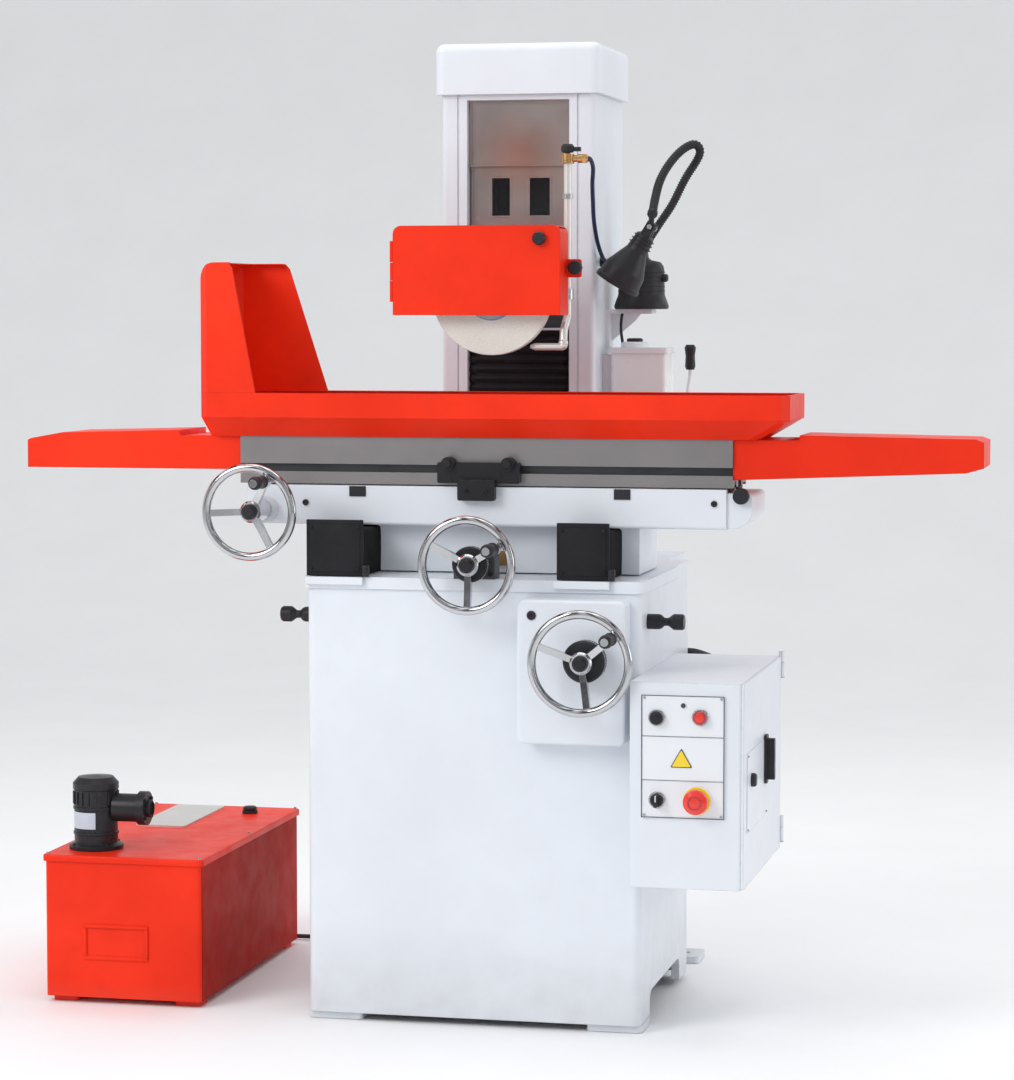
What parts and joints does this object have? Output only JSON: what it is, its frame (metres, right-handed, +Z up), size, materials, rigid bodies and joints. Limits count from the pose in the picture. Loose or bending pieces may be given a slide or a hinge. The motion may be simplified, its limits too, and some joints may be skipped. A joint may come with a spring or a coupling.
{
  "type": "surface grinder",
  "caption": "Manual surface grinder: cast base and column, wheel head, saddle and table with red splash tray, chrome handwheels, control box, lamp and coolant tank.",
  "frame": {"origin": "on the floor at the centre of the cast base's footprint", "axes": "+X to the operator's right, +Y to the rear, +Z up"},
  "size_m": [1.603, 0.835, 1.62],
  "materials": {
    "white_enamel": "semi-gloss sprayed enamel",
    "red_enamel": "gloss vermilion enamel",
    "ground_steel": "ground",
    "grey_sheet": "satin sheet",
    "chrome": "polished",
    "bright_steel": "turned",
    "black_plastic": "moulded",
    "black_paint": "satin",
    "bellows_fabric": "coated fabric",
    "belt_rubber": "matt",
    "bronze": "machined",
    "abrasive": "vitrified grit",
    "cast_iron": "painted casting",
    "pipe_metal": "satin tube",
    "red_button": "moulded",
    "reservoir_plastic": "translucent moulded"
  },
  "bodies": {
    "base": {"base_casting": "white_enamel", "levelling_pads": "cast_iron", "lifting_bollards": "black_paint", "elevating_gearbox": "white_enamel", "cross_ways": "ground_steel", "bearing_blocks": "cast_iron", "column": "white_enamel", "column_cap": "white_enamel", "column_covers": "grey_sheet", "lamp_bracket": "white_enamel", "lubricator": "reservoir_plastic", "electrical_box": "white_enamel", "control_panel": "white_enamel", "coolant_tank": "red_enamel", "coolant_pump": "black_paint", "saddle_way_covers": "bellows_fabric", "column_way_cover": "bellows_fabric"},
    "saddle": {"saddle": "white_enamel", "cross_nut": "bronze", "saddle_plugs": "black_plastic", "drive_belt": "belt_rubber"},
    "table": {"table": "ground_steel", "table_rack": "bright_steel", "stop_bracket": "black_paint", "splash_tray": "red_enamel", "left_splash_guard": "red_enamel", "table_wings": "red_enamel"},
    "table_wheel": {"table_handwheel": "chrome", "table_drive_shaft": "bright_steel", "table_wheel_cap": "black_plastic"},
    "table_wheel_grip": {"table_grip": "black_plastic"},
    "pinion": {"pinion_shaft": "bright_steel"},
    "cross_wheel": {"cross_handwheel": "chrome", "cross_screw": "bright_steel", "cross_dial": "black_plastic"},
    "cross_wheel_grip": {"cross_grip": "black_plastic"},
    "vertical_wheel": {"vertical_handwheel": "chrome", "vertical_feed_shaft": "bright_steel", "vertical_dial": "black_plastic"},
    "vertical_wheel_grip": {"vertical_grip": "black_plastic"},
    "cross_shaft": {"transverse_shaft": "bright_steel"},
    "lift_screw": {"elevating_screw": "bright_steel"},
    "head": {"head_casting": "cast_iron", "spindle_motor": "black_paint", "wheel_guard": "red_enamel", "head_way_shield": "grey_sheet", "coolant_pipe": "pipe_metal"},
    "spindle": {"wheel_spindle": "bright_steel", "grinding_wheel": "abrasive"},
    "wheel_guard_cover": {"guard_cover": "red_enamel"},
    "coolant_tap": {"valve_knob": "black_plastic"},
    "lamp": {"lamp_base": "black_plastic"},
    "lamp_shade": {"lamp_head": "black_plastic"},
    "lubricator_pump": {"lubricator_lever": "bright_steel"},
    "cabinet_door": {"electrical_door": "white_enamel"},
    "start": {"start_button": "black_plastic"},
    "stop": {"stop_button": "red_button"},
    "selector": {"selector_switch": "black_plastic"},
    "estop": {"emergency_stop": "red_button"}
  },
  "joints": [
    {"name": "cross_feed", "type": "slide", "parent": "base", "child": "saddle", "axis": [0, 1, 0], "range_m": [-0.06501, 0.06501], "deforming": ["saddle_way_covers"]},
    {"name": "table_travel", "type": "slide", "parent": "saddle", "child": "table", "axis": [1, 0, 0], "range_m": [-0.20001, 0.20001]},
    {"name": "head_lift", "type": "slide", "parent": "base", "child": "head", "axis": [0, 0, 1], "range_m": [-0.10501, 0.08501], "deforming": ["column_way_cover"]},
    {"name": "table_wheel_turn", "type": "hinge", "parent": "saddle", "child": "table_wheel", "pos_m": [-0.369, -0.35, 0.837], "axis": [0, 1, 0], "range_deg": [-1273.24, 1273.24]},
    {"name": "table_grip_spin", "type": "hinge", "parent": "table_wheel", "child": "table_wheel_grip", "pos_m": [-0.34224, -0.387, 0.88733], "axis": [0, 1, 0], "continuous": true},
    {"name": "pinion_turn", "type": "hinge", "parent": "saddle", "child": "pinion", "pos_m": [-0.12, -0.175, 0.845], "axis": [0, 1, 0], "range_deg": [-764.44, 764.44]},
    {"name": "cross_wheel_turn", "type": "hinge", "parent": "base", "child": "cross_wheel", "pos_m": [0.005, -0.39, 0.759], "axis": [0, 1, 0], "range_deg": [-4680, 4680]},
    {"name": "cross_grip_spin", "type": "hinge", "parent": "cross_wheel", "child": "cross_wheel_grip", "pos_m": [0.05129, -0.427, 0.78681], "axis": [0, 1, 0], "continuous": true},
    {"name": "vertical_wheel_turn", "type": "hinge", "parent": "base", "child": "vertical_wheel", "pos_m": [0.2, -0.44, 0.611], "axis": [0, 1, 0], "range_deg": [-7650, 9450]},
    {"name": "vertical_grip_spin", "type": "hinge", "parent": "vertical_wheel", "child": "vertical_wheel_grip", "pos_m": [0.25129, -0.477, 0.65253], "axis": [0, 1, 0], "continuous": true},
    {"name": "cross_shaft_turn", "type": "hinge", "parent": "base", "child": "cross_shaft", "pos_m": [0.1, 0.233, 0.611], "axis": [1, 0, 0], "range_deg": [-9450.5, 7650.5]},
    {"name": "lift_screw_turn", "type": "hinge", "parent": "base", "child": "lift_screw", "pos_m": [0, 0.233, 0.7], "axis": [0, 0, 1], "range_deg": [-7650.5, 9450.5]},
    {"name": "spindle_turn", "type": "hinge", "parent": "head", "child": "spindle", "pos_m": [0, -0.18, 1.192], "axis": [0, 1, 0], "continuous": true},
    {"name": "guard_cover_hinge", "type": "hinge", "parent": "head", "child": "wheel_guard_cover", "pos_m": [-0.1635, -0.212, 1.23], "axis": [0, 0, -1], "range_deg": [0, 90]},
    {"name": "coolant_tap_turn", "type": "hinge", "parent": "head", "child": "coolant_tap", "pos_m": [0.117, -0.134, 1.42], "axis": [0, 0, 1], "range_deg": [0, 90]},
    {"name": "lamp_swivel", "type": "hinge", "parent": "base", "child": "lamp", "pos_m": [0.192, 0.14, 1.185], "axis": [0, 0, 1], "range_deg": [0, 110]},
    {"name": "lamp_tilt", "type": "hinge", "parent": "lamp", "child": "lamp_shade", "pos_m": [0.233, 0, 1.306], "axis": [0, 1, 0], "range_deg": [-35, 8]},
    {"name": "lubricator_pull", "type": "hinge", "parent": "base", "child": "lubricator_pump", "pos_m": [0.27, 0.11, 0.987], "axis": [1, 0, 0], "range_deg": [0, 35], "stiffness_Nm_per_rad": 0.05},
    {"name": "cabinet_door_hinge", "type": "hinge", "parent": "base", "child": "cabinet_door", "pos_m": [0.46, 0.002, 0.42], "axis": [0, 0, 1], "range_deg": [0, 100]},
    {"name": "start_press", "type": "slide", "parent": "base", "child": "start", "axis": [0, 1, 0], "range_m": [0, 0.004], "stiffness_N_per_m": 60},
    {"name": "stop_press", "type": "slide", "parent": "base", "child": "stop", "axis": [0, 1, 0], "range_m": [0, 0.004], "stiffness_N_per_m": 60},
    {"name": "estop_press", "type": "slide", "parent": "base", "child": "estop", "axis": [0, 1, 0], "range_m": [0, 0.005]},
    {"name": "selector_turn", "type": "hinge", "parent": "base", "child": "selector", "pos_m": [0.323, -0.43, 0.399], "axis": [0, 1, 0], "range_deg": [-45, 45]}
  ],
  "couplings": [
    {"joint": "pinion_turn", "follows": "table_wheel_turn", "ratio": 0.6},
    {"joint": "table_travel", "follows": "table_wheel_turn", "m_per_rad": 0.009},
    {"joint": "cross_feed", "follows": "cross_wheel_turn", "m_per_rad": 0.00079577},
    {"joint": "cross_shaft_turn", "follows": "vertical_wheel_turn", "ratio": -1},
    {"joint": "lift_screw_turn", "follows": "vertical_wheel_turn", "ratio": 1},
    {"joint": "head_lift", "follows": "vertical_wheel_turn", "m_per_rad": -0.00063662}
  ]
}
